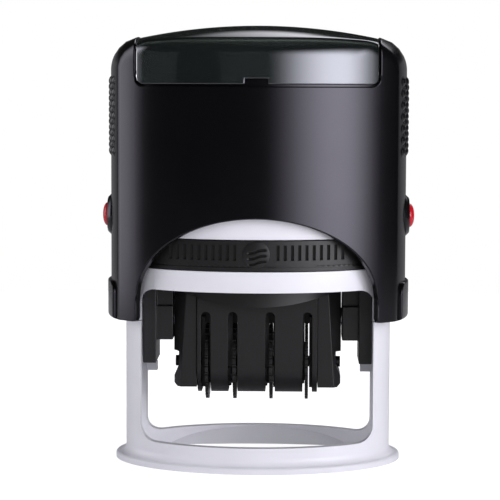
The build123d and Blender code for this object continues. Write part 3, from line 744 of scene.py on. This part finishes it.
button_low, button_high = (np.array(corner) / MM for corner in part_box("button_right"))
bezel_low, bezel_high = (np.array(corner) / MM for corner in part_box("button_bezel_right"))
button_z = (button_low[2] + button_high[2]) / 2
flange_radius = button_high[2] - button_z
ring_radius = bezel_high[2] - button_z
stem_radius = 3.3
flange_face = half_width - 2.05
tip = button_high[0]
dome_rise = 1.45
dome_fullness = 0.8
axis_radius = 0.001
crown = np.linspace(0, np.pi / 2, 12)
dome = [stem_radius * np.cos(crown) ** dome_fullness, tip - dome_rise + dome_rise * np.sin(crown)]
button_profile = np.concatenate([
    [[axis_radius, button_low[0]], [flange_radius, button_low[0]], [flange_radius, flange_face]],
    [[stem_radius, flange_face], [stem_radius, tip - dome_rise]],
    np.stack(dome, axis=-1)[1:-1],
    [[0.6, tip], [axis_radius, tip]],
])
ring_out = bezel_high[0]
ring_back = bezel_low[0]
ring_bore = 3.42
ring_neck = 4.6
ring_seat = half_width - 0.6
ring_profile = np.array([
    [ring_bore, ring_back], [ring_neck, ring_back], [ring_neck, ring_seat], [ring_radius, ring_seat],
    [ring_radius, half_width - 0.1], [ring_radius - 0.12, half_width + 0.04], [4.85, ring_out - 0.06],
    [4.7, ring_out], [3.75, ring_out], [3.55, ring_out - 0.1], [ring_bore, ring_out - 0.3],
    [ring_bore, ring_back],
])
for side, way in (("left", -1), ("right", 1)):
    red = turned("red_button_" + side, button_profile, way, button_z, button_red, "button_" + side)
    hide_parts("button_" + side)
    ring = turned("button_ring_" + side, ring_profile, way, button_z, bezel_black, "handle")
    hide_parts("button_bezel_" + side)
print("buttons at height", round(button_z, 2), "mm")

# %% [markdown]
# ## Parts that keep their CAD shape
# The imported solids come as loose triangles. A copy with its points merged can be shaded smoothly, and a
# small bevel on its sharp edges gives the thin highlights of moulded plastic.

# %% A finished copy of a CAD node
bodies = frame["record"]["behaviour"]["bodies"]
node_body = {node: body for body, members in bodies.items() for node in members}


def join_flat(mesh, degrees=0.6):
    """Joins neighbouring triangles that lie in one plane, so that shading has no stray lines."""
    with edited(mesh) as tool:
        bmesh.ops.dissolve_limit(tool, angle_limit=math.radians(degrees), verts=tool.verts, edges=tool.edges)


def finished_copy(node, material, bevel=0.0, segments=2):
    """Merged, smooth copy of a node with rounded edges, which stands for the node."""
    mesh = frame["nodes"][node].data.copy()
    piece = scene_object(node + "_finish", mesh)
    merge(mesh)
    join_flat(mesh)
    finish_piece(piece, material, node_body[node])
    if bevel:
        soften(piece, bevel, segments).use_clamp_overlap = True
    even = piece.modifiers.new("even", "WEIGHTED_NORMAL")
    even.keep_sharp = True
    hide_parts(node)
    return piece


finished_copy("base_frame", frame_white, 0.35, 3)
tray = finished_copy("ink_pad_tray", tray_black, 0.1)
finished_copy("ink_felt", ink_felt)
finished_copy("yoke", mechanism_black, 0.25)
finished_copy("die_holder", mechanism_black, 0.25)
finished_copy("text_plate", die_rubber)
finished_copy("date_anvil", mechanism_black)
finished_copy("band_cover", mechanism_black, 0.2)
finished_copy("wheel_axle", axle_steel)
spring = finished_copy("main_spring", steel)
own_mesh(spring)
for wheel in ("day_tens", "day_units", "month", "year"):
    finished_copy("wheel_" + wheel, wheel_black)
    finished_copy("date_band_" + wheel, band_rubber)
for side in ("left", "right"):
    finished_copy("cheek_" + side, mechanism_black, 0.3)
    finished_copy("pivot_pin_" + side, steel)

# %% [markdown]
# The round pull on the drawer is a low dome with three wavy grooves. The copy loses its plain disc first.
# The dome is a grid of rings, and its height is a parabola minus a bell curve across each groove.

# %% Wavy grooves on the drawer's pull
pull_radius = 3.6
tray_low, tray_high = (np.array(corner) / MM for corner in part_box("ink_pad_tray"))
pull_z = (tray_low[2] + tray_high[2]) / 2 + 0.35
pull_front = tray_low[1]
search_margin = 0.01
search_depth = 2.0


def on_pull(point):
    """Whether a point of the tray belongs to its plain disc."""
    reach = math.hypot(point.co.x, point.co.z - pull_z * MM)
    return reach < (pull_radius + search_margin) * MM and point.co.y < (pull_front + search_depth) * MM


with edited(tray.data) as tool:
    plain = [face for face in tool.faces if all(on_pull(point) for point in face.verts)]
    plain_count = len(plain)
    bmesh.ops.delete(tool, geom=plain, context="FACES")


pull_fall = 0.42
pull_thickness = 1.3
groove_heights = (1.3, -0.25, -1.8)
groove_depth = 0.4
groove_width = 0.24
groove_middle = 0.2
groove_reach = 2.3
groove_fade = 0.12
wave_height = 0.4
wave_length = 0.9


def pull_depth(x, z):
    """How far the pull's face lies behind its frontmost point: a parabola and three grooves, each with its
    middle at z = base - wave_height (1 - tanh(x / wave_length))."""
    depth = pull_fall * (np.hypot(x, z) / pull_radius) ** 2
    window = 1 / (1 + np.exp((np.abs(x - groove_middle) - groove_reach) / groove_fade))
    for base in groove_heights:
        middle = base - wave_height * (1 - np.tanh(x / wave_length))
        depth += groove_depth * window * np.exp(-((z - middle) / groove_width) ** 2)
    return depth


rings = np.concatenate([np.linspace(axis_radius, pull_radius - 0.12, 40), [pull_radius - 0.03, pull_radius]])
angle = np.linspace(0, 2 * np.pi, 145)
x = rings[:, None] * np.cos(angle)
z = rings[:, None] * np.sin(angle)
y = pull_front + pull_depth(x, z)
y[-2:] += np.array([[0.03], [0.14]])
face = np.stack([x, y, pull_z + z], axis=-1)
wall = face[-1:] * np.array([1, 0, 1]) + np.array([0, pull_front + pull_thickness, 0])
pull = piece_from_patches("drawer_pull", [np.concatenate([face, wall])], tray_black, "ink_pad")
face_outwards(pull, (0, pull_front + 3, pull_z))
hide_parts("ink_pad_tray")
print("the copy lost", plain_count, "faces to the pull")

# %% [markdown]
# The white tube runs into its foot with a hollow curve. A ring with that curve lies in the corner between
# them. Its section is a quarter of an ellipse, and the ring follows the tube's own oval.

# %% Hollow curve round the foot
frame_low, frame_high = (np.array(corner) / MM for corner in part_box("base_frame"))
foot_reach = np.array([2.8, 2.5])
foot_top = 1.8
tube_half = frame_high[:2] - foot_reach
curve_reach = 1.65
curve_height = 2.1
buried = 0.3
bend = np.linspace(0, np.pi / 2, 9)
curve = np.stack([curve_reach * (1 - np.sin(bend)), foot_top + curve_height * (1 - np.cos(bend))], axis=-1)
section = np.concatenate([
    [[-buried, foot_top - buried], [curve_reach, foot_top - buried]],
    curve,
    [[-buried, foot_top + curve_height], [-buried, foot_top - buried]],
])
around = np.linspace(0, 2 * np.pi, 241)
spread = section[:, :1] / foot_reach[0]
oval_x = (tube_half[0] + spread * foot_reach[0]) * np.cos(around)
oval_y = (tube_half[1] + spread * foot_reach[1]) * np.sin(around)
oval_z = section[:, 1:] * np.ones_like(around)
foot_grid = np.stack([oval_x, oval_y, oval_z], axis=-1)
foot_curve = piece_from_patches("foot_curve", [foot_grid], frame_white, "base")
same_way(foot_curve.data)
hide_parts("base_frame")
print("the tube's oval:", np.round(tube_half, 2))

# %% [markdown]
# ## Camera, light and floor
# The stamp is seen from a little above its middle with a long lens. A black glossy body shows its form only
# by what it mirrors, so the room around it matters more than the lamps.

# %% Camera
camera_data = bpy.data.cameras.new("camera")
camera = scene_object("camera", camera_data)
camera_place = np.array([0.0115, -0.55, 0.1038])
camera_aim = np.array([-0.0023, 0.0, 0.0578])
camera.location = camera_place
camera_turn = Vector(camera_aim - camera_place).to_track_quat("-Z", "Y")
camera_roll = Quaternion((0, 0, 1), math.radians(0.2))
camera.rotation_euler = (camera_turn @ camera_roll).to_euler()
camera_data.lens = 143
camera_data.sensor_width = 36
camera_data.clip_start = 0.01
bpy.context.scene.camera = camera


# %% [markdown]
# The studio is drawn in the world itself: a direction is turned into a compass angle and a height, and soft
# edged fields of light are laid into it. To the right of the camera hangs a wide soft box, to the left a
# narrow one, and behind the stamp is a pale backdrop. The space in front stays dark, which keeps black
# plastic black. The camera itself sees plain white.

# %% Helpers for the studio
world = bpy.data.worlds.new("world")
bpy.context.scene.world = world
world.use_nodes = True
sky = world.node_tree


def sum_node(kind, first, second):
    """Math node of the sky with two inputs, each a socket or a number; returns its output."""
    node = sky.nodes.new("ShaderNodeMath")
    node.operation = kind
    for slot, value in zip(node.inputs, (first, second)):
        if isinstance(value, (int, float)):
            slot.default_value = value
        else:
            sky.links.new(value, slot)
    return node.outputs["Value"]


def soft_step(value, start, end):
    """0 before start, 1 after end, smooth between them."""
    node = sky.nodes.new("ShaderNodeMapRange")
    node.interpolation_type = "SMOOTHSTEP"
    node.inputs["From Min"].default_value = min(start, end)
    node.inputs["From Max"].default_value = max(start, end)
    node.inputs["To Min"].default_value = 0.0 if end > start else 1.0
    node.inputs["To Max"].default_value = 1.0 if end > start else 0.0
    sky.links.new(value, node.inputs["Value"])
    return node.outputs["Result"]


def light_field(compass, height, left, right, low, high, strength):
    """Field of light between two compass angles and two heights, each given as (dark, bright) in degrees."""
    across = sum_node("MULTIPLY", soft_step(compass, *left), soft_step(compass, *right))
    up = sum_node("MULTIPLY", soft_step(height, *low), soft_step(height, *high))
    return sum_node("MULTIPLY", sum_node("MULTIPLY", across, up), strength)


# %% The studio's fields of light
direction = sky.nodes.new("ShaderNodeTexCoord").outputs["Generated"]
parts = sky.nodes.new("ShaderNodeSeparateXYZ")
sky.links.new(direction, parts.inputs["Vector"])
towards = sum_node("MULTIPLY", parts.outputs["Y"], -1.0)
degrees = 180 / math.pi
compass = sum_node("MULTIPLY", sum_node("ARCTAN2", parts.outputs["X"], towards), degrees)
across_square = sum_node("MULTIPLY", parts.outputs["X"], parts.outputs["X"])
along_square = sum_node("MULTIPLY", parts.outputs["Y"], parts.outputs["Y"])
flat_part = sum_node("POWER", sum_node("ADD", across_square, along_square), 0.5)
height = sum_node("MULTIPLY", sum_node("ARCTAN2", parts.outputs["Z"], flat_part), degrees)
behind = sum_node("ABSOLUTE", compass, 0.0)
right_box = light_field(compass, height, (4, 46), (78, 50), (-11, -4), (42, 3), 6.4)
left_box = light_field(compass, height, (-134, -92), (-71, -87), (-14, -6), (40, 20), 2.7)
low_backdrop = light_field(behind, height, (128, 150), (178, 168), (-40, -20), (11, 5), 0.22)
high_strip = light_field(behind, height, (130, 150), (400, 390), (19, 25), (39, 33), 1.9)
high_backdrop = sum_node("MULTIPLY", high_strip, soft_step(parts.outputs["X"], -0.12, 0.05))
backdrop = sum_node("ADD", low_backdrop, high_backdrop)
room_glow = 0.012
glow = sum_node("ADD", sum_node("ADD", right_box, left_box), sum_node("ADD", backdrop, room_glow))
studio = sky.nodes["Background"]
studio.inputs["Color"].default_value = (0.96, 0.95, 1.0, 1)
sky.links.new(glow, studio.inputs["Strength"])
white = sky.nodes.new("ShaderNodeBackground")
white.inputs["Color"].default_value = (1, 1, 1, 1)
ray = sky.nodes.new("ShaderNodeLightPath")
sees_white = sum_node("MAXIMUM", ray.outputs["Is Camera Ray"], ray.outputs["Is Transmission Ray"])
choose = sky.nodes.new("ShaderNodeMixShader")
sky.links.new(sees_white, choose.inputs["Fac"])
sky.links.new(studio.outputs["Background"], choose.inputs[1])
sky.links.new(white.outputs["Background"], choose.inputs[2])
sky.links.new(choose.outputs["Shader"], sky.nodes["World Output"].inputs["Surface"])


# %% Lamps that fill the shadows
def lamp(name, place, aim, size, power, colour=(1, 1, 1)):
    """Square soft lamp that lights matt surfaces but is not mirrored by glossy ones."""
    data = bpy.data.lights.new(name, "AREA")
    data.shape = "SQUARE"
    data.size = size
    data.energy = power
    data.color = colour
    light = scene_object(name, data)
    light.location = place
    way = Vector(aim) - Vector(place)
    light.rotation_euler = way.to_track_quat("-Z", "Y").to_euler()
    light.visible_glossy = False


lamp("front_fill", (-0.1, -0.95, 0.35), (0, 0, 0.06), 0.6, 1.9, (0.97, 0.96, 1.0))
lamp("top_fill", (0.1, 0.1, 0.9), (0, 0, 0.05), 0.7, 2.3)
lamp("right_fill", (0.8, -0.5, 0.3), (0, 0, 0.06), 0.5, 1.5, (0.98, 0.97, 1.0))
lamp("left_fill", (-0.9, -0.45, 0.2), (0, 0, 0.06), 0.5, 1.5, (0.98, 0.97, 1.0))

# %% A white floor that keeps the shadow
floor_reach = 0.45
floor_corners = 96
turn = np.linspace(0, 2 * np.pi, floor_corners + 1)[:-1]
floor_mesh = bpy.data.meshes.new("floor")
ring = np.stack([floor_reach * np.cos(turn), floor_reach * np.sin(turn), 0 * turn], axis=-1)
floor_mesh.from_pydata(ring.tolist(), [], [list(range(len(ring)))])
floor = scene_object("floor", floor_mesh)
floor_white = bpy.data.materials.new("floor_white")
floor_white.use_nodes = True
paper = floor_white.node_tree
matt = paper.nodes["Principled BSDF"]
matt.inputs["Base Color"].default_value = (0.86, 0.86, 0.87, 1)
matt.inputs["Roughness"].default_value = 0.9
lit = paper.nodes.new("ShaderNodeEmission")
lit.inputs["Strength"].default_value = 0.75
both = paper.nodes.new("ShaderNodeAddShader")
paper.links.new(matt.outputs["BSDF"], both.inputs[0])
paper.links.new(lit.outputs["Emission"], both.inputs[1])
floor_ray = paper.nodes.new("ShaderNodeLightPath")
pick = paper.nodes.new("ShaderNodeMixShader")
paper.links.new(floor_ray.outputs["Is Camera Ray"], pick.inputs["Fac"])
paper.links.new(matt.outputs["BSDF"], pick.inputs[1])
paper.links.new(both.outputs["Shader"], pick.inputs[2])
paper.links.new(pick.outputs["Shader"], paper.nodes["Material Output"].inputs["Surface"])
floor_mesh.materials.append(floor_white)

# %% View settings
bpy.context.scene.view_settings.view_transform = "Standard"
